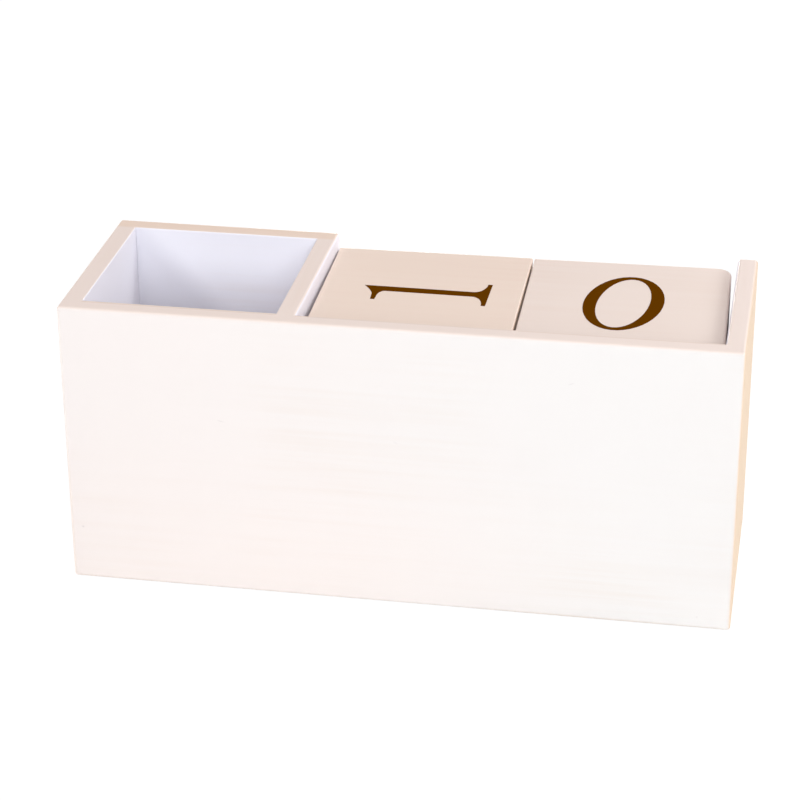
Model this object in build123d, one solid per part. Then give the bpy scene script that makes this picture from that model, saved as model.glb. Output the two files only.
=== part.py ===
from build123d import *
import math
import os

# Desk calendar: a white painted wooden case with a pen cup at one end, an open bay where two date
# cubes stand side by side, and a shallow drawer in the space under the bay's shelf.
# Millimetres, +Z up. The drawer and the bay open to the front, -Y; the plain back faces +Y.
# The cup is at +X. The origin is the middle of the case's footprint, on the surface it stands on.

# Boards
back_thickness = 6.0
cup_side_thickness = 6.4
bay_side_thickness = 6.0
divider_thickness = 6.0
cup_front_thickness = 6.0
base_thickness = 6.0
shelf_thickness = 4.0

# Date cubes, and the play around them in the bay
cube_size = 60.4
cube_side_gap = 1.05  # at both walls
cube_middle_gap = 0.7  # between the cubes
cube_back_gap = 2.2
tens_cube_setback = 0.0  # the cubes' fronts stand this far behind the case's front
units_cube_setback = 1.4
cube_sink = 4.1  # the cubes' tops lie this far below the rim
cube_edge_radius = 0.5
worn_top_edge_radius = 1.1  # the tens cube's outer and front top edges, sanded rounder
worn_corner_radius = 4.5  # and its outer front upright edge
tens_cube_play_share = 0.68  # the cubes stand a little askew, by this much of the play at the sides
units_cube_play_share = 0.55

# Pen cup
cup_width = 58.0

# Sanded edges of the glued-up case
case_edge_radius = 1.0
cup_mouth_radius = 0.45
bay_side_corner_radius = 2.0  # the upper front corner of the bay's side, seen from the side

# Drawer
drawer_opening_height = 15.5
drawer_side_play = 0.6
drawer_top_play = 0.6
drawer_ground_play = 0.2
drawer_back_play = 0.3
drawer_front_thickness = 6.0
drawer_wall_thickness = 4.0
drawer_wall_drop = 1.2  # the walls stay this far below the front's top edge
drawer_lap = 3.0  # how deep the front's ends are rebated for the side walls
drawer_bottom_thickness = 2.5
drawer_bottom_rise = 1.6  # wood left under the groove for the bottom
groove_depth = 2.0
groove_play = 0.1
drawer_edge_radius = 0.6

# Turned knob and its screw
knob_projection = 11.0
knob_head_radius = 5.2
knob_dome_height = 2.6  # of the head in front of its widest ring
knob_under_radius = 2.2  # of the quarter round behind it
knob_neck_radius = 2.4  # where the neck leaves the foot; it widens towards the head
knob_foot_radius = 3.6
knob_foot_thickness = 1.2
screw_radius = 1.2
screw_grip = 7.0  # length of screw inside the knob
screw_hole_play = 0.2
screw_head_radius = 2.3
screw_head_height = 1.6
screw_head_chamfer = 0.6
screw_head_play = 0.3  # between the head and the drawer's bottom
screw_slot_width = 0.7
screw_slot_length = 2.9
screw_slot_depth = 0.9

# Brads that hold the case, of flat wire with a narrow head, and the headless pins of the drawer
brad_width = 1.2
brad_depth = 1.0
brad_head_width = 2.0
brad_head_height = 0.8
brad_length = 16.0
brad_row_height = 17.6  # from the bottom, and from the top for the upper row
brad_end_inset = 9.5
brad_side_rows = (-17.0, 7.0)  # places in Y
brad_divider_rows = (-11.0, 13.0)
pin_width = 0.9
pin_length = 9.0

# The case that follows from them
bay_width = 2 * cube_size + 2 * cube_side_gap + cube_middle_gap
bay_depth = units_cube_setback + cube_size + cube_back_gap
case_width = cup_side_thickness + cup_width + divider_thickness + bay_width + bay_side_thickness
case_depth = bay_depth + back_thickness
shelf_underside = base_thickness + drawer_opening_height
shelf_top = shelf_underside + shelf_thickness
case_height = shelf_top + cube_size + cube_sink

left = -case_width / 2
right = case_width / 2
front = -case_depth / 2
back = case_depth / 2
bay_left = left + bay_side_thickness
bay_right = bay_left + bay_width
divider_middle = bay_right + divider_thickness / 2
cup_left = bay_right + divider_thickness
cup_right = right - cup_side_thickness
cup_front = front + cup_front_thickness
inner_back = back - back_thickness


def block(x0, x1, y0, y1, z0, z1):
    return Pos(x0, y0, z0) * Box(x1 - x0, y1 - y0, z1 - z0, align=(Align.MIN, Align.MIN, Align.MIN))


# ---- Case: glued up, sanded and painted as one form, which is then divided into its boards ----


def near(value, *planes):
    return any(abs(value - plane) < 1e-4 for plane in planes)


def on_outside(edge):
    """True for an edge along which two of the case's six outer planes meet."""
    box = edge.bounding_box()
    flat = [
        near(box.min.X, left, right) and near(box.max.X, left, right) and box.size.X < 1e-4,
        near(box.min.Y, front, back) and near(box.max.Y, front, back) and box.size.Y < 1e-4,
        near(box.min.Z, 0, case_height) and near(box.max.Z, 0, case_height) and box.size.Z < 1e-4,
    ]
    return sum(flat) == 2


def on_mouth(edge, x0, x1):
    """True for an edge around the mouth of an opening that lies between two places in X."""
    box = edge.bounding_box()
    at_top = near(box.min.Z, case_height) and box.size.Z < 1e-4
    at_front = near(box.min.Y, front) and box.size.Y < 1e-4
    within = box.min.X > x0 - 1e-4 and box.max.X < x1 + 1e-4 and box.min.Y < inner_back + 1e-4
    return within and box.min.Z > base_thickness - 1e-4 and (at_top or at_front)


def on_cup_mouth(edge):
    return on_mouth(edge, cup_left, cup_right)


def on_case_edge(edge):
    """True for an edge of the case that is sanded as much as the outside, its one rounded corner too."""
    return on_outside(edge) or on_mouth(edge, bay_left, bay_right) or edge.geom_type == GeomType.CIRCLE


def make_case_form():
    form = block(left, right, front, back, 0, case_height)
    above = case_height + 1
    ahead = front - 1
    form -= block(cup_left, cup_right, cup_front, inner_back, base_thickness, above)
    form -= block(bay_left, bay_right, ahead, inner_back, shelf_top, above)
    form -= block(bay_left, bay_right, ahead, inner_back, base_thickness, shelf_underside)
    bay_side_corner = ((left + bay_left) / 2, front, case_height)
    form = fillet(form.edges().sort_by_distance(bay_side_corner)[0], bay_side_corner_radius)
    form = fillet(form.edges().filter_by(on_case_edge), case_edge_radius)
    return fillet(form.edges().filter_by(on_cup_mouth), cup_mouth_radius)


board_places = {
    "back_panel": (left, right, inner_back, back, 0, case_height),
    "cup_side_panel": (cup_right, right, front, inner_back, 0, case_height),
    "bay_side_panel": (left, bay_left, front, inner_back, 0, case_height),
    "base_panel": (bay_left, cup_right, front, inner_back, 0, base_thickness),
    "divider_panel": (bay_right, cup_left, cup_front, inner_back, base_thickness, case_height),
    "cup_front_panel": (bay_right, cup_right, front, cup_front, base_thickness, case_height),
    "shelf_panel": (bay_left, bay_right, front, inner_back, shelf_underside, shelf_top),
}


# ---- Brads and pins, driven in flush ----


def make_nail(x, y, z, along, width, depth, length):
    """A straight nail of flat wire. Its width lies along X, or along Y where it is driven along X."""
    width_along = (0, 1, 0) if along[0] else (1, 0, 0)
    seat = Plane(origin=(x, y, z), x_dir=width_along, z_dir=along)
    return seat * Box(width, depth, length, align=(Align.CENTER, Align.CENTER, Align.MIN))


def make_brad(x, y, z, along):
    shank = make_nail(x, y, z, along, brad_width, brad_depth, brad_length)
    return shank + make_nail(x, y, z, along, brad_head_width, brad_depth, brad_head_height)


def make_case_brads():
    rows = (brad_row_height, case_height - brad_row_height)
    base_middle = base_thickness / 2
    shelf_middle = shelf_underside + shelf_thickness / 2
    cup_front_middle = front + cup_front_thickness / 2
    bay_quarters = (bay_left + bay_width / 4, bay_right - bay_width / 4)
    cup_quarters = (cup_left + cup_width / 4, cup_right - cup_width / 4)

    back_brads = []
    for z in rows:
        for x in (left + bay_side_thickness / 2, divider_middle, right - cup_side_thickness / 2):
            back_brads.append(make_brad(x, back, z, (0, -1, 0)))
    for x in (left + brad_end_inset, 0, right - brad_end_inset):
        back_brads.append(make_brad(x, back, base_middle, (0, -1, 0)))
    for x in bay_quarters:
        back_brads.append(make_brad(x, back, shelf_middle, (0, -1, 0)))

    front_brads = [make_brad(divider_middle, front, z, (0, 1, 0)) for z in rows]

    side_brads = [make_brad(right, cup_front_middle, z, (-1, 0, 0)) for z in rows]
    for y in brad_side_rows:
        side_brads.append(make_brad(right, y, base_middle, (-1, 0, 0)))
        side_brads.append(make_brad(left, y, base_middle, (1, 0, 0)))
        side_brads.append(make_brad(left, y, shelf_middle, (1, 0, 0)))
        side_brads.append(make_brad(cup_left, y, shelf_middle, (-1, 0, 0)))

    base_brads = [make_brad(divider_middle, y, 0, (0, 0, 1)) for y in brad_divider_rows]
    base_brads += [make_brad(x, cup_front_middle, 0, (0, 0, 1)) for x in cup_quarters]

    return {
        "back_brads": back_brads,
        "front_brads": front_brads,
        "side_brads": side_brads,
        "base_brads": base_brads,
    }


def boxes_meet(a, b):
    """True where two bounding boxes overlap."""
    lows = zip(a.min, b.max)
    highs = zip(b.min, a.max)
    return all(low < high for low, high in lows) and all(low < high for low, high in highs)


def drill(pieces, fasteners):
    """Take the room of each nail out of every piece that it passes through."""
    nail_boxes = [nail.bounding_box() for nail in fasteners]
    for name, piece in pieces.items():
        piece_box = piece.bounding_box()
        in_way = [nail for nail, box in zip(fasteners, nail_boxes) if boxes_meet(piece_box, box)]
        if in_way:
            pieces[name] = piece - in_way


def make_case():
    form = make_case_form()
    pieces = {name: form & block(*place) for name, place in board_places.items()}
    brads = make_case_brads()
    drill(pieces, [brad for group in brads.values() for brad in group])
    for name, group in brads.items():
        pieces[name] = Compound(children=group)
    return pieces


# ---- Date cubes ----


def make_cube(middle_x, setback, turn, upright_radius, top_radius):
    """A cube with broken edges. Its front upright on the -X side can be rounder, and so can the top
    edges that meet over it."""
    half = cube_size / 2
    cube = Box(cube_size, cube_size, cube_size)
    cube = fillet(cube.edges().sort_by_distance((-half, -half, 0))[0], upright_radius)
    cube = fillet(cube.edges().sort_by_distance((-half, 0, half))[0], top_radius)
    still_sharp = []
    for axis, place in ((Axis.X, -1), (Axis.Y, -1), (Axis.Z, 0)):
        for edge in cube.faces().sort_by(axis)[place].edges():
            if not any(edge.is_same(other) for other in still_sharp):
                still_sharp.append(edge)
    cube = fillet(still_sharp, cube_edge_radius)
    place = Pos(middle_x, front + setback + half, shelf_top + half)
    return place * Rot(0, 0, turn) * cube


def turned_by(play_share):
    """The angle in degrees at which a cube's corner takes this share of its play at the side."""
    return math.degrees(math.atan(play_share * cube_side_gap / (cube_size / 2)))


def make_cubes():
    tens_middle = bay_left + cube_side_gap + cube_size / 2
    units_middle = tens_middle + cube_size + cube_middle_gap
    return {
        "tens_cube": make_cube(
            tens_middle,
            tens_cube_setback,
            turned_by(tens_cube_play_share),
            worn_corner_radius,
            worn_top_edge_radius,
        ),
        "units_cube": make_cube(
            units_middle,
            units_cube_setback,
            turned_by(units_cube_play_share),
            cube_edge_radius,
            cube_edge_radius,
        ),
    }


# ---- Drawer: rebated front, two grooved walls, a back on top of the sliding-in bottom ----

drawer_left = bay_left + drawer_side_play
drawer_right = bay_right - drawer_side_play
drawer_floor = base_thickness + drawer_ground_play
drawer_top = shelf_underside - drawer_top_play
drawer_wall_top = drawer_top - drawer_wall_drop
drawer_rear = inner_back - drawer_back_play
drawer_front_rear = front + drawer_front_thickness
wall_inner_left = drawer_left + drawer_wall_thickness
wall_inner_right = drawer_right - drawer_wall_thickness
groove_low = drawer_floor + drawer_bottom_rise
groove_high = groove_low + drawer_bottom_thickness + 2 * groove_play
bottom_low = groove_low + groove_play
bottom_high = bottom_low + drawer_bottom_thickness
knob_height = max((drawer_floor + drawer_top) / 2, bottom_high + screw_head_play + screw_head_radius)
drawer_middle = (drawer_left + drawer_right) / 2


def make_groove():
    return block(
        wall_inner_left - groove_depth,
        wall_inner_right + groove_depth,
        drawer_front_rear - groove_depth,
        drawer_rear + 1,
        groove_low,
        groove_high,
    )


def make_drawer_front():
    board = block(drawer_left, drawer_right, front, drawer_front_rear, drawer_floor, drawer_top)
    board = fillet(board.faces().sort_by(Axis.Y)[0].edges(), drawer_edge_radius)
    lap_front = drawer_front_rear - drawer_lap
    behind = drawer_front_rear + 1
    for x0, x1 in ((drawer_left - 1, wall_inner_left), (wall_inner_right, drawer_right + 1)):
        board -= block(x0, x1, lap_front, behind, drawer_floor - 1, drawer_wall_top)
    board -= make_groove()
    hole = Cylinder(screw_radius + screw_hole_play, 3 * drawer_front_thickness)
    return board - Plane(origin=(drawer_middle, front, knob_height), z_dir=(0, 1, 0)) * hole


def make_drawer_pins():
    """Two pins in each side wall: one into the front's end, one into the back's."""
    above_groove = (groove_high + drawer_wall_top) / 2
    front_y = drawer_front_rear - drawer_lap / 2
    rear_y = drawer_rear - drawer_wall_thickness / 2
    pins = []
    for y in (front_y, rear_y):
        for x, inward in ((drawer_left, 1), (drawer_right, -1)):
            pins.append(make_nail(x, y, above_groove, (inward, 0, 0), pin_width, pin_width, pin_length))
    return pins


def make_drawer():
    pins = make_drawer_pins()
    lap_front = drawer_front_rear - drawer_lap
    walls = {
        "drawer_left_wall": (drawer_left, wall_inner_left),
        "drawer_right_wall": (wall_inner_right, drawer_right),
    }
    pieces = {"drawer_front": make_drawer_front()}
    for name, (x0, x1) in walls.items():
        wall = block(x0, x1, lap_front, drawer_rear, drawer_floor, drawer_wall_top)
        pieces[name] = wall - make_groove()
    pieces["drawer_back"] = block(
        wall_inner_left,
        wall_inner_right,
        drawer_rear - drawer_wall_thickness,
        drawer_rear,
        groove_high,
        drawer_wall_top,
    )
    drill(pieces, pins)
    reach = groove_depth - groove_play
    pieces["drawer_bottom"] = block(
        wall_inner_left - reach,
        wall_inner_right + reach,
        drawer_front_rear - reach,
        drawer_rear,
        bottom_low,
        bottom_high,
    )
    pieces["drawer_pins"] = Compound(children=pins)
    return pieces


# ---- Knob, and the screw that holds it from inside the drawer ----


def make_knob():
    """Turned about the screw's line: a foot disc, a tapered neck and a domed, mushroom-like head."""
    tip_y = -knob_projection
    ring_y = tip_y + knob_dome_height
    throat_y = ring_y + knob_under_radius
    throat_radius = knob_head_radius - knob_under_radius
    foot_y = -knob_foot_thickness
    foot_corners = ((knob_foot_radius, 0), (knob_foot_radius, foot_y), (knob_neck_radius, foot_y))
    straight = Polyline((0, tip_y), (0, 0), *foot_corners, (throat_radius, throat_y))
    under = CenterArc((throat_radius, ring_y), knob_under_radius, 0, 90)
    dome = TangentArc((0, tip_y), (knob_head_radius, ring_y), tangent=(1, 0))
    knob = revolve(make_face([*straight.edges(), under, dome]), Axis.Y)
    pilot = Cylinder(screw_radius, screw_grip, align=(Align.CENTER, Align.CENTER, Align.MIN))
    knob -= Plane(origin=(0, 0, 0), z_dir=(0, -1, 0)) * pilot
    return Pos(drawer_middle, front, knob_height) * knob


def make_knob_screw():
    seat = Plane(origin=(drawer_middle, drawer_front_rear, knob_height), z_dir=(0, -1, 0))
    shank_length = drawer_front_thickness + screw_grip
    shank = Cylinder(screw_radius, shank_length, align=(Align.CENTER, Align.CENTER, Align.MIN))
    head = Cylinder(screw_head_radius, screw_head_height, align=(Align.CENTER, Align.CENTER, Align.MAX))
    head = chamfer(head.edges().filter_by(GeomType.CIRCLE).sort_by(Axis.Z)[0], screw_head_chamfer)
    for turn in (0, 90):
        slot = Box(screw_slot_length, screw_slot_width, 2 * screw_slot_depth)
        head -= Pos(0, 0, -screw_head_height) * Rot(0, 0, turn) * slot
    return seat * (shank + head)


def main():
    os.makedirs("parts", exist_ok=True)
    pieces = {**make_case(), **make_cubes(), **make_drawer()}
    pieces["drawer_knob"] = make_knob()
    pieces["knob_screw"] = make_knob_screw()
    for name, shape in pieces.items():
        export_step(shape, f"parts/{name}.step")
    print(f"case {case_width:.1f} x {case_depth:.1f} x {case_height:.1f} mm, {len(pieces)} sub-parts")


main()
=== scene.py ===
import math

import bpy
from mathutils import Matrix, Vector


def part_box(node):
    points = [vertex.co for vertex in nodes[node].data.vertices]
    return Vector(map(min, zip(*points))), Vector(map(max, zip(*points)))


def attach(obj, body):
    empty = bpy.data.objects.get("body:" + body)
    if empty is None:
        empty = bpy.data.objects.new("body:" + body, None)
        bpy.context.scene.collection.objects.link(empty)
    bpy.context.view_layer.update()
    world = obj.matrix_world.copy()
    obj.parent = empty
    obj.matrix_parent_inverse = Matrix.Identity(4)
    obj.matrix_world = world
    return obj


# Looks of a painted wooden desk calendar: case with pen cup, two date cubes, small drawer.
# Metres, +Z up. The drawer opens to -Y, the plain back that the camera sees faces +Y.
# Colours are red, green and blue from 0 to 255. A pair that is called a fade says where a change
# begins and where it is complete, and waves are counted per metre along X, Y and Z.

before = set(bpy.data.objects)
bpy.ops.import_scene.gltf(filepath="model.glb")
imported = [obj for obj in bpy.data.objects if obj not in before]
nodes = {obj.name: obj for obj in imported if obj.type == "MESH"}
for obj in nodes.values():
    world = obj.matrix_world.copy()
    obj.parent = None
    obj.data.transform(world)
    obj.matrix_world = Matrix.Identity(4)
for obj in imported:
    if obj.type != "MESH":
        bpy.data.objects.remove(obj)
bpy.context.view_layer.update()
print("frame loaded,", len(nodes), "CAD nodes")


# helpers for colours and shader nodes


def linear(colour):
    # a colour as a picture program gives it, turned into what the shader takes
    channels = [c / 255 for c in colour]
    return [c / 12.92 if c <= 0.04045 else ((c + 0.055) / 1.055) ** 2.4 for c in channels] + [1.0]


def addNode(tree, kind, sockets=None, **settings):
    node = tree.nodes.new("ShaderNode" + kind)
    for name, value in settings.items():
        setattr(node, name, value)
    for socket, value in (sockets or {}).items():
        if isinstance(value, bpy.types.NodeSocket):
            tree.links.new(value, node.inputs[socket])
        else:
            node.inputs[socket].default_value = value
    return node


def calc(tree, operation, first, second=0.0, third=0.0, clamp=False):
    node = addNode(tree, "Math", {0: first, 1: second, 2: third}, operation=operation, use_clamp=clamp)
    return node.outputs[0]


def product(tree, *values):
    result = values[0]
    for value in values[1:]:
        result = calc(tree, "MULTIPLY", result, value)
    return result


def fade(tree, value, start, end, low=0.0, high=1.0):
    # a soft step: low at start, high at end
    sockets = {"Value": value, "From Min": start, "From Max": end, "To Min": low, "To Max": high}
    return addNode(tree, "MapRange", sockets, interpolation_type="SMOOTHSTEP").outputs[0]


def fadeAt(tree, value, place, offsets):
    # a soft step near a place, given as two distances from it
    return fade(tree, value, place + offsets[0], place + offsets[1])


def between(tree, value, low, high, soft):
    # 1 from low to high, and down to 0 within the soft width outside
    return product(tree, fade(tree, value, low - soft, low), fade(tree, value, high + soft, high))


def blendColours(tree, share, first, second, blend="MIX"):
    # each colour is another node's or three numbers
    first, second = [linear(c) if isinstance(c, tuple) else c for c in (first, second)]
    sockets = {0: share, 6: first, 7: second}
    return addNode(tree, "Mix", sockets, data_type="RGBA", blend_type=blend).outputs[2]


def noise(tree, where, waves, detail=3.0, roughness=0.5, distortion=0.0):
    mapped = addNode(tree, "Mapping", {"Vector": where, "Scale": waves}).outputs[0]
    shape = {"Scale": 1.0, "Detail": detail, "Roughness": roughness, "Distortion": distortion}
    return addNode(tree, "TexNoise", {"Vector": mapped, **shape}).outputs[0]


def brushwork(tree, where, finish, streakWaves):
    # what a brush leaves: broad patches, where the paint is thin, its roughness and its height
    streaks = noise(tree, where, streakWaves, detail=4.0, roughness=0.6)
    patches = noise(tree, where, finish["patchWaves"], detail=2.0)
    grain = noise(tree, where, finish["grainWaves"], detail=2.0)
    inPatch = fade(tree, patches, *finish["thinPatchFade"])
    thin = product(tree, inPatch, fade(tree, streaks, *finish["thinStreakFade"]))
    roughness = fade(tree, streaks, *finish["streakFade"], *finish["roughness"])
    height = calc(tree, "MULTIPLY_ADD", grain, finish["grainHeight"], streaks)
    return patches, thin, roughness, height


def startMaterial(name):
    material = bpy.data.materials.new(name)
    material.use_nodes = True
    tree = material.node_tree
    tree.nodes.clear()
    where = addNode(tree, "TexCoord").outputs["Object"]
    return material, tree, where


def finishMaterial(tree, colour, roughness, height, bump, plain=None):
    # bump is its strength and its depth, and plain values go on the shader's own sockets
    strength, depth = bump
    normal = addNode(tree, "Bump", {"Strength": strength, "Distance": depth, "Height": height}).outputs[0]
    sockets = {"Base Color": colour, "Roughness": roughness, "Normal": normal, **(plain or {})}
    shader = addNode(tree, "BsdfPrincipled", sockets)
    addNode(tree, "OutputMaterial", {"Surface": shader.outputs[0]})


def dress(material, *names):
    for name in names:
        mesh = nodes[name].data
        mesh.materials.clear()
        mesh.materials.append(material)


# places on the case

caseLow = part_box("bay_side_panel")[0]
backLow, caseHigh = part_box("back_panel")
innerBack = backLow.y
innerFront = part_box("cup_front_panel")[1].y
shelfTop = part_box("shelf_panel")[1].z
dividerLow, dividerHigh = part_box("divider_panel")
cupEnds = (dividerHigh.x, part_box("cup_side_panel")[0].x)
bayEnds = (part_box("bay_side_panel")[1].x, dividerLow.x)


# white satin paint, brushed on, the same run of paint over all the boards of the case

paint = {
    "colour": (238, 235, 231),
    "warmColour": (242, 235, 230),  # towards the cup's end
    "warmFadeX": (-0.08, 0.09),
    "footLightColour": (245, 236, 230),  # and at its foot, painted light: lighter there, where the key lamp gives less
    "footFadeX": (-0.09, 0.05),
    "footFadeZ": (0.07, 0.0),
    "rimLightColour": (246, 232, 222),  # painted light: the upper edges of the boards warmer, as the light falls on the tops
    "rimFade": (-0.0007, -0.0001),  # from the top of the case
    "frontRimLightColour": (243, 222, 204),  # painted light, warmer still on the one in front of the cup
    "frontRimFade": (0.001, -0.001),  # from the inside of the cup's front wall
    "frontRimFadeX": (0.024, 0.032),  # where that wall starts
    "bayEndLightColour": (228, 204, 174),  # painted light: the end by the bay warm, lit by warm light from that side
    "bayEndLightFade": (0.0007, 0.0001),  # from that end's face
    "thinShade": (252, 249, 246),  # multiplies the colour where the brush left less paint
    "thinPatchFade": (0.35, 0.75),
    "thinStreakFade": (0.35, 0.75),
    "streaksAcross": 420.0,  # brush lines per metre
    "streaksAlong": 9.0,
    "streakFade": (0.25, 0.75),
    "patchWaves": (14, 14, 14),
    "grainWaves": (1500, 1500, 1500),
    "grainHeight": 0.15,  # against the height of the streaks
    "roughness": (0.42, 0.52),  # across the streaks
    "specular": 0.35,
    "bump": (0.5, 0.00005),
}


def paintOutside(tree, x, y, z):
    colour = blendColours(tree, fade(tree, x, *paint["warmFadeX"]), paint["colour"], paint["warmColour"])
    # painted light: lighter at the foot
    foot = product(tree, fade(tree, z, *paint["footFadeZ"]), fade(tree, x, *paint["footFadeX"]))
    colour = blendColours(tree, foot, colour, paint["footLightColour"])
    # painted light: warmer on the upper edges
    rimLight = fadeAt(tree, z, caseHigh.z, paint["rimFade"])
    colour = blendColours(tree, rimLight, colour, paint["rimLightColour"])
    inFront = fadeAt(tree, y, innerFront, paint["frontRimFade"])
    # painted light, warmer still on the top of the cup's front wall
    frontRimLight = product(tree, rimLight, inFront, fade(tree, x, *paint["frontRimFadeX"]))
    return blendColours(tree, frontRimLight, colour, paint["frontRimLightColour"])


# painted light: the insides of the cup and of the bay cooler, as cool light falls in from above

rooms = {
    "cupLightColour": (250, 249, 255),
    "deepCupShadeColour": (245, 243, 249),  # painted shade further down
    "deepCupFade": (-0.010, -0.022),  # from the top of the case
    "cornerShadowColour": (229, 227, 234),  # painted shadow: a darker wedge on the front wall, wider further down, cast from the cup's outer side
    "cornerSlope": 0.93,  # so much wider for as much further down
    "cornerFade": (0.009, -0.005),  # across the wedge's slanting border
    "frontWallFade": (0.0005, 0.0001),  # from the inside of the front wall
    "bayLightColour": (243, 242, 250),
    "bayFrontInset": 0.001,  # the bay's painted light ends behind the case's front
    "shelfFade": (-0.001, -0.0002),  # from the shelf's top, as only the bay over it has this painted light
    "mouthFade": (0.0, -0.0002),  # from the top of the case
    "margin": 0.00025,  # how far the painted light goes into the walls, and how soft it ends
}


def inRoom(tree, x, y, z, ends, front):
    # 1 on the walls and the rounded mouth of an open room of the case, 0 elsewhere
    margin = rooms["margin"]
    across = between(tree, x, ends[0] - margin, ends[1] + margin, margin)
    along = between(tree, y, front - margin, innerBack + margin, margin)
    return product(tree, across, along, fadeAt(tree, z, caseHigh.z, rooms["mouthFade"]))


def cupCornerShadow(tree, x, y, z):
    # 1 on the cup's front wall near its outer corner, where the painted shadow falls
    fromCorner = calc(tree, "SUBTRACT", cupEnds[1], x)
    depth = calc(tree, "SUBTRACT", caseHigh.z, z)
    beyondWedge = calc(tree, "MULTIPLY_ADD", depth, -rooms["cornerSlope"], fromCorner)
    onFrontWall = fadeAt(tree, y, innerFront, rooms["frontWallFade"])
    return product(tree, fade(tree, beyondWedge, *rooms["cornerFade"]), onFrontWall)


# painted light in the cup and the bay: cooler, with painted shade deeper in the cup and a painted shadow in
# its corner
def paintRoomLight(tree, colour, x, y, z):
    deepShade = fadeAt(tree, z, caseHigh.z, rooms["deepCupFade"])
    cupLightAndShade = blendColours(tree, deepShade, rooms["cupLightColour"], rooms["deepCupShadeColour"])
    cupLightAndShade = blendColours(tree, cupCornerShadow(tree, x, y, z), cupLightAndShade, rooms["cornerShadowColour"])
    cup = inRoom(tree, x, y, z, cupEnds, innerFront)
    colour = blendColours(tree, cup, colour, cupLightAndShade)
    bay = inRoom(tree, x, y, z, bayEnds, caseLow.y + rooms["bayFrontInset"])
    aboveShelf = fadeAt(tree, z, shelfTop, rooms["shelfFade"])
    return blendColours(tree, product(tree, bay, aboveShelf), colour, rooms["bayLightColour"])


# edges rubbed by hands, painted shade on the back's inner upper edge, and small grey rubs and specks on the
# back

wearAndShade = {
    "edgeWearAndShadeColour": (230, 211, 194),
    "edgeReach": 0.0014,  # from each of the two faces that meet
    "patchFade": (0.4, 0.65),
    "share": (0.15, 0.7),  # how far the edges are rubbed, outside the patches and in them
    "innerEdgeShadeShare": 0.4,  # painted shade on the back's inner upper edge, in the edge colour, to dim the light line along it
    "innerEdgeRoughness": 0.95,
    "innerEdgeBand": (0.0002, 0.001),  # from the back's inner face
    "innerEdgeSoft": 0.0007,
    "innerEdgeEndSoft": 0.0003,
    "innerEdgeFade": (-0.0014, -0.0008),  # from the top of the case
    "markColour": (176, 166, 166),
    "markFade": (-0.0005, -0.0001),  # from the back's outer face
    "marks": (  # x, z, slope in degrees, length, width, strength
        (0.0519, 0.0567, 12, 0.0030, 0.0006, 0.20),
        (-0.0513, 0.0768, -20, 0.0026, 0.0006, 0.18),
        (-0.0004, 0.0539, 35, 0.0022, 0.0005, 0.16),
        (0.0962, 0.0175, 0, 0.0012, 0.0010, 0.28),
        (-0.0901, 0.0039, 0, 0.0010, 0.0008, 0.16),
    ),
}


def outerEdges(tree, x, y, z):
    # 1 where two of the outer faces are near
    halfHeight = caseHigh.z / 2
    fromMiddle = calc(tree, "SUBTRACT", z, halfHeight)
    near = []
    for value, face in ((x, caseHigh.x), (y, caseHigh.y), (fromMiddle, halfHeight)):
        near.append(fadeAt(tree, calc(tree, "ABSOLUTE", value), face, (-wearAndShade["edgeReach"], 0.0)))
    sideFace, sideTop, faceTop = [product(tree, near[i], near[j]) for i, j in ((0, 1), (0, 2), (1, 2))]
    return calc(tree, "MAXIMUM", calc(tree, "MAXIMUM", sideFace, sideTop), faceTop)


def innerBackEdge(tree, x, y, z):
    # 1 on the back's upper edge along the mouths of the cup and the bay
    mouths = [between(tree, x, *ends, wearAndShade["innerEdgeEndSoft"]) for ends in (cupEnds, bayEnds)]
    start, end = wearAndShade["innerEdgeBand"]
    edge = between(tree, y, innerBack + start, innerBack + end, wearAndShade["innerEdgeSoft"])
    high = fadeAt(tree, z, caseHigh.z, wearAndShade["innerEdgeFade"])
    return product(tree, edge, high, calc(tree, "MAXIMUM", *mouths))


def addMarks(tree, colour, x, y, z):
    onBack = fadeAt(tree, y, caseHigh.y, wearAndShade["markFade"])
    for markX, markZ, slope, length, width, strength in wearAndShade["marks"]:
        right = calc(tree, "SUBTRACT", x, markX)
        up = calc(tree, "SUBTRACT", z, markZ)
        cosine, sine = math.cos(math.radians(slope)), math.sin(math.radians(slope))
        lengthwise = calc(tree, "MULTIPLY_ADD", right, cosine, calc(tree, "MULTIPLY", up, sine))
        sideways = calc(tree, "MULTIPLY_ADD", right, -sine, calc(tree, "MULTIPLY", up, cosine))
        inLength = fade(tree, calc(tree, "ABSOLUTE", lengthwise), length / 2, 0.0)
        inWidth = fade(tree, calc(tree, "ABSOLUTE", sideways), width / 2, 0.0)
        mark = product(tree, inLength, inWidth, strength, onBack)
        colour = blendColours(tree, mark, colour, wearAndShade["markColour"])
    return colour


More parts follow.
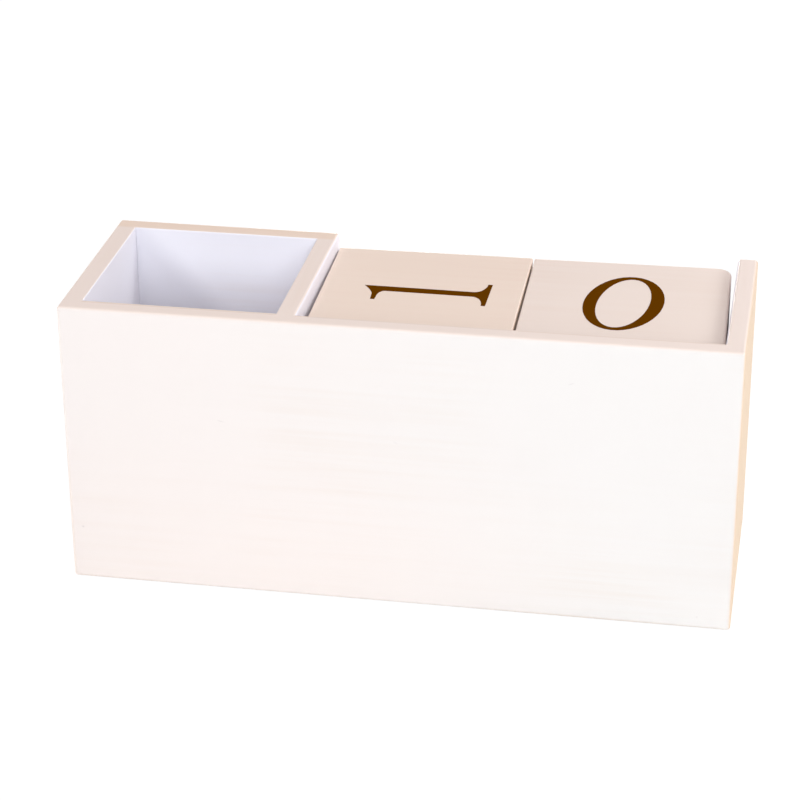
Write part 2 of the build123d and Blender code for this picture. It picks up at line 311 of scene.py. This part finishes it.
def makePaint(name, streakAxis, marked=False):
    material, tree, where = startMaterial(name)
    x, y, z = addNode(tree, "SeparateXYZ", {0: where}).outputs
    streakWaves = [paint["streaksAlong" if axis == streakAxis else "streaksAcross"] for axis in "XYZ"]
    patches, thin, roughness, height = brushwork(tree, where, paint, streakWaves)

    colour = paintRoomLight(tree, paintOutside(tree, x, y, z), x, y, z)
    # painted light: the end by the bay warm
    bayEndLight = fadeAt(tree, x, caseLow.x, paint["bayEndLightFade"])
    colour = blendColours(tree, bayEndLight, colour, paint["bayEndLightColour"])
    shade = blendColours(tree, thin, (255, 255, 255), paint["thinShade"])
    colour = blendColours(tree, 1.0, colour, shade, "MULTIPLY")

    rubbed = fade(tree, patches, *wearAndShade["patchFade"], *wearAndShade["share"])
    rubbed = product(tree, outerEdges(tree, x, y, z), rubbed)
    colour = blendColours(tree, rubbed, colour, wearAndShade["edgeWearAndShadeColour"])
    innerEdge = innerBackEdge(tree, x, y, z)
    # painted shade on the back's inner upper edge, in the edge colour
    wornAndShaded = product(tree, innerEdge, wearAndShade["innerEdgeShadeShare"])
    colour = blendColours(tree, wornAndShaded, colour, wearAndShade["edgeWearAndShadeColour"])
    if marked:
        colour = addMarks(tree, colour, x, y, z)

    dull = product(tree, innerEdge, wearAndShade["innerEdgeRoughness"])
    roughness = calc(tree, "MAXIMUM", roughness, dull)
    plain = {"Specular IOR Level": paint["specular"]}
    finishMaterial(tree, colour, roughness, height, paint["bump"], plain)
    return material


backPaint = makePaint("backPaint", "X", marked=True)
crossPaint = makePaint("crossPaint", "X")
sidePaint = makePaint("sidePaint", "Y")
dress(backPaint, "back_panel", "back_brads")
dress(crossPaint, "cup_front_panel", "base_panel", "shelf_panel", "drawer_front", "drawer_back")
dress(crossPaint, "front_brads", "base_brads")
dress(sidePaint, "cup_side_panel", "divider_panel", "bay_side_panel")
dress(sidePaint, "drawer_left_wall", "drawer_right_wall", "side_brads", "drawer_pins")
print("case painted, its nail heads too")


# date cubes: the same white, brushed along one way, with painted light making the tops warmer

cubeFinish = {
    # a cube's paint on top with painted light, and where it is thin
    "tens_cube": ((245, 231, 220), (243, 227, 215)),
    "units_cube": ((246, 228, 212), (244, 224, 208)),
    "sides": ((238, 231, 226), (236, 228, 221)),  # the same for the faces in the bay, without the painted light, so less yellow
    "topLightFade": (-0.0024, -0.0008),  # from the cube's top
    "thinPatchFade": (0.35, 0.75),
    "thinStreakFade": (0.3, 0.75),
    "streakWaves": (12, 380, 380),
    "streakFade": (0.25, 0.75),
    "patchWaves": (22, 22, 22),
    "grainWaves": (1300, 1300, 1300),
    "grainHeight": 0.2,
    "roughness": (0.45, 0.55),  # across the streaks
    "specular": 0.35,
    "bump": (0.5, 0.00005),
}


def makeCubePaint(cube):
    material, tree, where = startMaterial(cube + "_paint")
    z = addNode(tree, "SeparateXYZ", {0: where}).outputs[2]
    thin, roughness, height = brushwork(tree, where, cubeFinish, cubeFinish["streakWaves"])[1:]
    topLightCoat = blendColours(tree, thin, *cubeFinish[cube])
    sideCoat = blendColours(tree, thin, *cubeFinish["sides"])
    # painted light: warmer tops
    topLight = fadeAt(tree, z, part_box(cube)[1].z, cubeFinish["topLightFade"])
    colour = blendColours(tree, topLight, sideCoat, topLightCoat)
    plain = {"Specular IOR Level": cubeFinish["specular"]}
    finishMaterial(tree, colour, roughness, height, cubeFinish["bump"], plain)
    return material


for cube in ("tens_cube", "units_cube"):
    dress(makeCubePaint(cube), cube)
print("cubes painted")


# numbers printed on the cubes in thick brown ink
# Each outline is a list of anchors in millimetres from the foot of the number's middle line. An anchor
# has x, y and the way the outline travels there in degrees: one angle where it runs smoothly through,
# two where it turns a corner, None for a straight side, and no angle for a corner between straight sides.

numberShapes = {
    "0": (
        ((11.75, 19, 90), (0, 39, 180), (-11.75, 19, -90), (0, -1, 0)),
        ((7.8, 19, 90), (0, 37.1, 180), (-7.6, 19, -90), (0, 0.9, 0)),
    ),
    "1": (
        (
            (-8, 0), (8, 0), (8, 1.3, None, 180), (1.7, 4.8, 90), (1.7, 38, 90, 220),
            (-4.4, 34.75, 184), (-8.3, 34.5), (-8.3, 33.2, None, 0), (-5.2, 33.1, 0),
            (-1.7, 31, -90), (-1.7, 4.8, -90), (-8, 1.3, 180, None),
        ),
    ),
    "2": (
        (
            (-11, 0), (9.8, 0), (12, 9.6), (10.9, 9.6, None, 262), (6, 4.2, 180), (-5.4, 4.2, 180, 42),
            (11.2, 27.6, 90), (-0.4, 38.8, 180), (-10.6, 29.6, -90), (-8.2, 27.2, 0), (-5.9, 29.4, 90),
            (-7.2, 33, 80), (-1.2, 37.1, 0), (6.7, 27.6, -90), (-11, 1.3, 228, None),
        ),
    ),
    "3": (
        (
            (-10, 30.6, 90), (-0.3, 38.8, 0), (9.6, 29.6, -90), (3, 20.6, 200, -12), (11.4, 10.2, -90),
            (-1.2, -0.9, 180), (-11, 6.2, 90), (-8.6, 8.6, 0), (-6.2, 6.4, -90), (-6.6, 3.6, -70),
            (-1.2, 0.8, 0), (6.8, 10.2, 90), (-0.8, 19.3, 180), (-3.8, 19.2, 180, None),
            (-3.8, 20.6, None, 0), (-0.6, 20.7, 0), (5.1, 29.4, 90), (-0.6, 37.2, 180),
            (-5.8, 33.4, -110), (-5.2, 31, -90), (-7.6, 28.4, 180),
        ),
    ),
    "4": (
        (
            (-12.4, 9.1), (2.9, 9.1), (2.9, 4.6, -90), (-2.8, 0.9, 180, None), (-2.8, 0), (12.4, 0),
            (12.4, 0.9, None, 180), (6.7, 4.6, 90), (6.7, 9.1), (12.6, 9.1), (12.6, 11.1), (6.7, 11.1),
            (6.7, 38.4), (5.3, 38.4), (-12.4, 10.4),
        ),
        ((-9.9, 11.1), (2.9, 11.1), (2.9, 31.4)),
    ),
    "5": (
        (
            (-10.9, 6.4, -90), (-1.5, -0.9, 0), (11.5, 11.8, 90), (0.8, 23.8, 180), (-5.6, 21.4, 215, None),
            (-5, 33.6), (8.2, 33.6), (10.6, 40), (9.7, 40, None, 235), (6.6, 38, 180), (-6.4, 38),
            (-7.6, 18.6), (-6.8, 18.4, None, 52), (-0.6, 22.1, 0), (6.8, 11.4, -90), (-1.6, 0.8, 180),
            (-6.5, 3.9, 118), (-6.1, 6.5, 90), (-8.5, 8.9, 180),
        ),
    ),
    "6": (
        (
            (11.2, 11.7, -90), (0.2, -0.9, 180), (-11.6, 16, 90), (3.6, 38.8, 0), (10.4, 33.8, -90),
            (8.1, 31.4, 180), (5.8, 33.6, 90), (6.1, 35.2, 100), (3.2, 37.1, 180), (-7.3, 18.6, -96, 56),
            (1.2, 24.1, 0),
        ),
        ((6.8, 11.4, 90), (0.3, 22.3, 180), (-7.2, 13.4, -92), (0.4, 0.8, 0)),
    ),
    "7": (
        (
            (-11.4, 27.6), (-10.3, 27.6, None, 80), (-4.6, 33.8, 0), (7.6, 33.8, 0, 228),
            (-5, -0.5, -97, None), (0.5, -0.5, None, 88), (11.5, 36.4, 50, None), (11.5, 38), (-9.6, 38),
        ),
    ),
    "8": (
        (
            (0, -0.9, 0), (11.4, 9.4, 90), (4.6, 20.9, 148, 28), (9.5, 29.8, 90), (0.2, 38.8, 180),
            (-9.8, 29.2, -90), (-4.9, 19.2, -40, 205), (-11.4, 9.2, -90),
        ),
        ((0, 0.8, 180), (-7.5, 8.9, 90), (-3.2, 17.6, 30, -26), (6.9, 8.6, -90)),
        ((0.2, 37.1, 180), (-5.6, 30.8, -90), (3, 22.3, -28, 35), (5.7, 29.8, 90)),
    ),
}

ink = {
    "colour": (103, 59, 1),
    "wornColour": (112, 68, 12),
    "wornPatchFade": (0.45, 0.8),
    "wornGrainFade": (0.4, 0.7),
    "patchWaves": (160, 160, 160),
    "grainWaves": (1800, 1800, 1800),
    "roughness": (0.54, 0.7),
    "roughPatchFade": (0.3, 0.7),
    "specular": 0.0,
    "bump": (0.3, 0.00002),
    "thickness": 0.00005,  # above the paint
    "depthInPaint": 0.00002,
    "numberHeight": 0.038,
    "curveSteps": 10,
}

# for each cube: the face's way, the number's upward way, the number, its shift right and up, and how
# many degrees it leans to the right
cubeNumbers = {
    "tens_cube": (
        ("top", (0, 1, 0), "0", 0.0006, 0.0009, 6.7),
        ("front", (0, 0, 1), "2", 0.0, 0.0005, 1.2),
        ("left", (0, 0, 1), "6", 0.0004, 0.0, -1.0),
        ("right", (0, 0, 1), "7", -0.0003, 0.0004, 0.8),
        ("back", (0, 0, 1), "8", 0.0, -0.0004, -1.4),
        ("bottom", (0, 1, 0), "1", 0.0005, 0.0, 1.0),
    ),
    "units_cube": (
        ("top", (1, 0, 0), "1", -0.0003, -0.0014, 1.4),
        ("front", (0, 0, 1), "5", 0.0003, -0.0003, -0.9),
        ("left", (0, 0, 1), "3", 0.0, 0.0005, 1.1),
        ("right", (0, 0, 1), "4", 0.0004, 0.0, -0.7),
        ("back", (0, 0, 1), "2", -0.0004, 0.0, 1.5),
        ("bottom", (1, 0, 0), "0", 0.0, 0.0, -1.2),
    ),
}

# where each face of a cube looks
faceWays = {
    "top": (0, 0, 1),
    "bottom": (0, 0, -1),
    "front": (0, -1, 0),
    "back": (0, 1, 0),
    "left": (-1, 0, 0),
    "right": (1, 0, 0),
}


def way(angle):
    return Vector((math.cos(math.radians(angle)), math.sin(math.radians(angle))))


def reaches(start, startWay, end, endWay):
    # how long the two handles are, so that a quarter turn comes out as a quarter of an ellipse
    quarterTurn = 0.5523
    leastTurn = 0.05  # below it the two ways count as parallel
    gap = end - start
    turn = startWay.x * endWay.y - startWay.y * endWay.x
    if abs(turn) > leastTurn:
        first = (gap.x * endWay.y - gap.y * endWay.x) / turn
        second = (startWay.x * gap.y - startWay.y * gap.x) / turn
        if first > 0 and second > 0:
            return quarterTurn * first, quarterTurn * second
    return gap.length / 3, gap.length / 3


def drawOutline(curve, anchors):
    spline = curve.splines.new("BEZIER")
    spline.use_cyclic_u = True
    spline.bezier_points.add(len(anchors) - 1)
    millimetre = 0.001
    places = [Vector(anchor[:2]) for anchor in anchors]
    arriving = [anchor[2] if len(anchor) > 2 else None for anchor in anchors]
    leaving = [anchor[-1] if len(anchor) > 2 else None for anchor in anchors]
    for point, place in zip(spline.bezier_points, places):
        point.handle_left_type = point.handle_right_type = "FREE"
        point.co = (place * millimetre).to_3d()
    for i, point in enumerate(spline.bezier_points):
        j = (i + 1) % len(anchors)
        after = spline.bezier_points[j]
        straight = (places[j] - places[i]).normalized()
        startWay = straight if leaving[i] is None else way(leaving[i])
        endWay = straight if arriving[j] is None else way(arriving[j])
        first, second = reaches(places[i], startWay, places[j], endWay)
        point.handle_right = ((places[i] + startWay * first) * millimetre).to_3d()
        after.handle_left = ((places[j] - endWay * second) * millimetre).to_3d()


def makeNumberMesh(number):
    curve = bpy.data.curves.new("outline", "CURVE")
    curve.dimensions = "2D"
    curve.fill_mode = "BOTH"
    curve.resolution_u = ink["curveSteps"]
    curve.extrude = (ink["thickness"] + ink["depthInPaint"]) / 2
    for anchors in numberShapes[number]:
        drawOutline(curve, anchors)
    holder = bpy.data.objects.new("outline", curve)
    bpy.context.scene.collection.objects.link(holder)
    bpy.context.view_layer.update()
    evaluated = holder.evaluated_get(bpy.context.evaluated_depsgraph_get())
    mesh = bpy.data.meshes.new_from_object(evaluated)
    bpy.data.objects.remove(holder)
    bpy.data.curves.remove(curve)
    return mesh


def cubePlace(name):
    # the middle of a cube, its half size and how far it is turned about Z, from its own mesh,
    # where the widest upright face towards +X gives the turn
    mesh = nodes[name].data
    flat = [p for p in mesh.polygons if p.normal.x > 0.9 and abs(p.normal.z) < 0.01]
    widest = max(flat, key=lambda p: p.area)
    turn = math.atan2(widest.normal.y, widest.normal.x)
    straight = Matrix.Rotation(-turn, 3, "Z")
    points = [straight @ v.co for v in mesh.vertices]
    low = Vector([min(p[i] for p in points) for i in range(3)])
    high = Vector([max(p[i] for p in points) for i in range(3)])
    return straight.inverted() @ ((low + high) / 2), (high - low) / 2, turn


def makeInk():
    material, tree, where = startMaterial("brownInk")
    patches = noise(tree, where, ink["patchWaves"])
    grain = noise(tree, where, ink["grainWaves"], detail=2.0)
    inPatch = fade(tree, patches, *ink["wornPatchFade"])
    wornAndShaded = product(tree, inPatch, fade(tree, grain, *ink["wornGrainFade"]))
    colour = blendColours(tree, wornAndShaded, ink["colour"], ink["wornColour"])
    roughness = fade(tree, patches, *ink["roughPatchFade"], *ink["roughness"])
    plain = {"Specular IOR Level": ink["specular"]}
    finishMaterial(tree, colour, roughness, grain, ink["bump"], plain)
    return material


def printNumbers():
    brownInk = makeInk()
    for cubeName, prints in cubeNumbers.items():
        middle, half, turn = cubePlace(cubeName)
        turned = Matrix.Rotation(turn, 4, "Z")
        for faceName, upward, number, shiftRight, shiftUp, lean in prints:
            normal = Vector(faceWays[faceName])
            up = Vector(upward)
            right = up.cross(normal)
            reach = sum(abs(normal[i]) * half[i] for i in range(3))
            middleOfInk = (ink["thickness"] - ink["depthInPaint"]) / 2
            local = normal * (reach + middleOfInk) + right * shiftRight + up * shiftUp
            axes = Matrix((right, up, normal)).transposed().to_4x4()
            leaning = Matrix.Rotation(-math.radians(lean), 4, "Z")
            toFoot = Matrix.Translation((0, -ink["numberHeight"] / 2, 0))
            mesh = makeNumberMesh(number)
            place = Matrix.Translation(middle) @ turned @ Matrix.Translation(local)
            mesh.transform(place @ axes @ leaning @ toFoot)
            mesh.name = f"{cubeName}_{faceName}_number"
            mesh.materials.clear()
            mesh.materials.append(brownInk)
            piece = bpy.data.objects.new(mesh.name, mesh)
            bpy.context.scene.collection.objects.link(piece)
            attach(piece, "tens" if cubeName == "tens_cube" else "units")


printNumbers()
print("numbers printed on both cubes")


# drawer bottom of birch plywood

plywood = {
    "colour": (226, 200, 160),
    "grainColour": (204, 171, 126),
    "layerColour": (170, 128, 84),  # of the middle layer, on the board's edges
    "layers": 3.0,
    "edgeFade": (0.6, 0.3),  # by how far the face looks up or down
    "grainWaves": (16, 260, 260),
    "grainDistortion": 0.4,
    "grainFade": (0.35, 0.7),
    "poreWaves": (90, 1500, 1500),
    "poreFade": (0.3, 0.7),
    "roughness": (0.62, 0.77),
    "bump": (0.5, 0.00006),
}


def makePlywood():
    material, tree, where = startMaterial("birchPlywood")
    warp = plywood["grainDistortion"]
    grain = noise(tree, where, plywood["grainWaves"], detail=5.0, roughness=0.6, distortion=warp)
    pores = noise(tree, where, plywood["poreWaves"], detail=2.0)
    low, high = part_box("drawer_bottom")
    z = addNode(tree, "SeparateXYZ", {0: where}).outputs[2]
    through = {"Value": z, "From Min": low.z, "From Max": high.z, "To Max": plywood["layers"]}
    layer = calc(tree, "FLOOR", addNode(tree, "MapRange", through).outputs[0])
    middleLayer = calc(tree, "COMPARE", layer, (plywood["layers"] - 1) / 2, 0.1)
    normal = addNode(tree, "NewGeometry").outputs["Normal"]
    upward = calc(tree, "ABSOLUTE", addNode(tree, "SeparateXYZ", {0: normal}).outputs[2])
    onEdge = fade(tree, upward, *plywood["edgeFade"])
    inGrain = fade(tree, grain, *plywood["grainFade"])
    colour = blendColours(tree, inGrain, plywood["colour"], plywood["grainColour"])
    colour = blendColours(tree, product(tree, middleLayer, onEdge), colour, plywood["layerColour"])
    roughness = fade(tree, pores, *plywood["poreFade"], *plywood["roughness"])
    finishMaterial(tree, colour, roughness, calc(tree, "ADD", grain, pores), plywood["bump"])
    return material


# knob of turned and aged brass

brass = {
    "colour": (181, 142, 78),
    "tarnishColour": (112, 82, 44),
    "neckStart": 0.0045,  # from the knob's front
    "neckTarnish": 0.9,
    "spotWaves": (420, 420, 420),
    "spotFade": (0.5, 0.75),
    "spotTarnish": 0.6,
    "latheWaves": (120, 3200, 120),
    "roughness": (0.28, 0.5),  # bright and tarnished
    "bump": (0.25, 0.00003),
}


def makeBrass():
    material, tree, where = startMaterial("agedBrass")
    low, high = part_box("drawer_knob")
    y = addNode(tree, "SeparateXYZ", {0: where}).outputs[1]
    spots = noise(tree, where, brass["spotWaves"])
    lathe = noise(tree, where, brass["latheWaves"], detail=2.0)
    inNeck = fade(tree, y, low.y + brass["neckStart"], high.y, 0.0, brass["neckTarnish"])
    inSpots = fade(tree, spots, *brass["spotFade"], 0.0, brass["spotTarnish"])
    tarnish = calc(tree, "ADD", inNeck, inSpots, clamp=True)
    colour = blendColours(tree, tarnish, brass["colour"], brass["tarnishColour"])
    roughness = fade(tree, tarnish, 0.0, 1.0, *brass["roughness"])
    finishMaterial(tree, colour, roughness, lathe, brass["bump"], {"Metallic": 1.0})
    return material


# the knob's zinc-plated screw

zinc = {
    "colour": (196, 196, 192),
    "dullColour": (150, 150, 148),
    "cloudWaves": (700, 700, 700),
    "dullFade": (0.35, 0.7),
    "roughFade": (0.3, 0.7),
    "roughness": (0.34, 0.49),
    "scratchWaves": (4200, 300, 600),
    "bump": (0.2, 0.00002),
}


def makeZinc():
    material, tree, where = startMaterial("zincSteel")
    clouds = noise(tree, where, zinc["cloudWaves"])
    scratches = noise(tree, where, zinc["scratchWaves"], detail=2.0)
    colour = blendColours(tree, fade(tree, clouds, *zinc["dullFade"]), zinc["colour"], zinc["dullColour"])
    roughness = fade(tree, clouds, *zinc["roughFade"], *zinc["roughness"])
    finishMaterial(tree, colour, roughness, scratches, zinc["bump"], {"Metallic": 1.0})
    return material


dress(makePlywood(), "drawer_bottom")
dress(makeBrass(), "drawer_knob")
dress(makeZinc(), "knob_screw")
print("drawer, knob and screw finished")


# floor, light and camera

studio = {
    "floorSize": 6.0,
    "floorLevel": -0.0001,  # a hair below the case, so the two faces don't show through each other
    "floorColour": (236, 236, 236),
    "floorGlow": 0.90,  # the camera sees the floor near the case glow by this much
    "glowFade": (0.3, 1.2),  # and at these distances the glow goes over to full white
    "floorShadow": 0.16,  # how much of the light and shade on the floor the camera sees
    "worldColour": (1.0, 0.90, 0.90),
    "worldStrength": 0.332,
    "aim": (0.0, 0.0, 0.045),
}

# place, width, power in watts and colour of each lamp; the low ones light the upright faces and
# hardly the tops
lamps = {
    "keyLamp": ((-0.2, 1.5, 0.75), 1.0, 18.9, (0.90, 0.955, 1.0)),
    "sideLamp": ((-1.3, -0.3, 1.0), 0.8, 10.8, (0.98, 0.98, 1.0)),
    "frontLamp": ((-0.4, -1.5, 0.38), 1.0, 4.0, (1.0, 0.88, 0.85)),
    "cupLamp": ((1.3, 0.2, 0.9), 0.9, 2.6, (1.0, 0.80, 0.75)),
    "lowFrontLamp": ((0.25, -1.5, 0.05), 0.07, 7.3, (1.0, 0.98, 0.96)),
    "lowCupLamp": ((1.5, -0.1, 0.05), 0.07, 6.3, (1.0, 0.98, 0.96)),
    "lowSideLamp": ((-1.5, -0.1, 0.05), 0.07, 2.5, (1.0, 0.98, 0.96)),
}


def cameraRays(tree):
    # 1 for what the camera sees straight, in a reflection or through glass
    rays = addNode(tree, "LightPath").outputs
    seen = calc(tree, "MAXIMUM", rays["Is Camera Ray"], rays["Is Glossy Ray"])
    return calc(tree, "MAXIMUM", seen, rays["Is Transmission Ray"])


def makeFloor():
    half, level = studio["floorSize"] / 2, studio["floorLevel"]
    corners = [(-half, -half, level), (half, -half, level), (half, half, level), (-half, half, level)]
    mesh = bpy.data.meshes.new("floor")
    mesh.from_pydata(corners, [], [(0, 1, 2, 3)])
    floor = bpy.data.objects.new("floor", mesh)
    bpy.context.scene.collection.objects.link(floor)
    material, tree, where = startMaterial("floorPaper")
    paper = addNode(tree, "BsdfDiffuse", {"Color": linear(studio["floorColour"])}).outputs[0]
    shaded = addNode(tree, "BsdfDiffuse", {"Color": [studio["floorShadow"]] * 3 + [1]}).outputs[0]
    distance = addNode(tree, "VectorMath", {0: where}, operation="LENGTH").outputs["Value"]
    strength = fade(tree, distance, *studio["glowFade"], studio["floorGlow"], 1.0)
    glow = addNode(tree, "Emission", {"Color": (1, 1, 1, 1), "Strength": strength}).outputs[0]
    seen = addNode(tree, "AddShader", {0: shaded, 1: glow}).outputs[0]
    surface = addNode(tree, "MixShader", {0: cameraRays(tree), 1: paper, 2: seen}).outputs[0]
    addNode(tree, "OutputMaterial", {"Surface": surface})
    mesh.materials.append(material)


def makeWorld():
    world = bpy.data.worlds.new("studioWorld")
    world.use_nodes = True
    tree = world.node_tree
    tree.nodes.clear()
    white = addNode(tree, "Background", {"Color": (1, 1, 1, 1), "Strength": 1.0}).outputs[0]
    lit = {"Color": (*studio["worldColour"], 1), "Strength": studio["worldStrength"]}
    light = addNode(tree, "Background", lit).outputs[0]
    surface = addNode(tree, "MixShader", {0: cameraRays(tree), 1: light, 2: white}).outputs[0]
    addNode(tree, "OutputWorld", {"Surface": surface})
    bpy.context.scene.world = world


def makeLamps():
    for name, (place, width, power, colour) in lamps.items():
        light = bpy.data.lights.new(name, "AREA")
        light.shape = "DISK"
        light.size = width
        light.energy = power
        light.color = colour
        lamp = bpy.data.objects.new(name, light)
        lamp.location = place
        aim = Vector(studio["aim"]) - Vector(place)
        lamp.rotation_mode = "QUATERNION"
        lamp.rotation_quaternion = aim.to_track_quat("-Z", "Y")
        bpy.context.scene.collection.objects.link(lamp)


makeFloor()
makeWorld()
makeLamps()

cameraView = {
    "place": (-0.11817, 0.68042, 0.38463),
    "turn": 10.22,  # degrees round from looking straight along -Y
    "tilt": 25.78,  # degrees down
    "roll": 0.35,
    "lens": 113.457,
    "sensorWidth": 36.0,
    "nearest": 0.01,
}


def makeCamera():
    turn, tilt = math.radians(cameraView["turn"]), math.radians(cameraView["tilt"])
    ahead = Vector((math.sin(turn), -math.cos(turn), 0))
    forward = ahead * math.cos(tilt) - Vector((0, 0, math.sin(tilt)))
    level = forward.cross(Vector((0, 0, 1))).normalized()
    up = level.cross(forward)
    roll = Matrix.Rotation(math.radians(cameraView["roll"]), 3, forward)
    right, up = roll @ level, roll @ up
    data = bpy.data.cameras.new("photoCamera")
    data.lens = cameraView["lens"]
    data.sensor_width = cameraView["sensorWidth"]
    data.clip_start = cameraView["nearest"]
    camera = bpy.data.objects.new("photoCamera", data)
    axes = Matrix((right, up, -forward)).transposed().to_4x4()
    camera.matrix_world = Matrix.Translation(cameraView["place"]) @ axes
    bpy.context.scene.collection.objects.link(camera)
    bpy.context.scene.camera = camera


makeCamera()
bpy.context.scene.view_settings.view_transform = "Standard"
print("floor, lamps and camera placed")
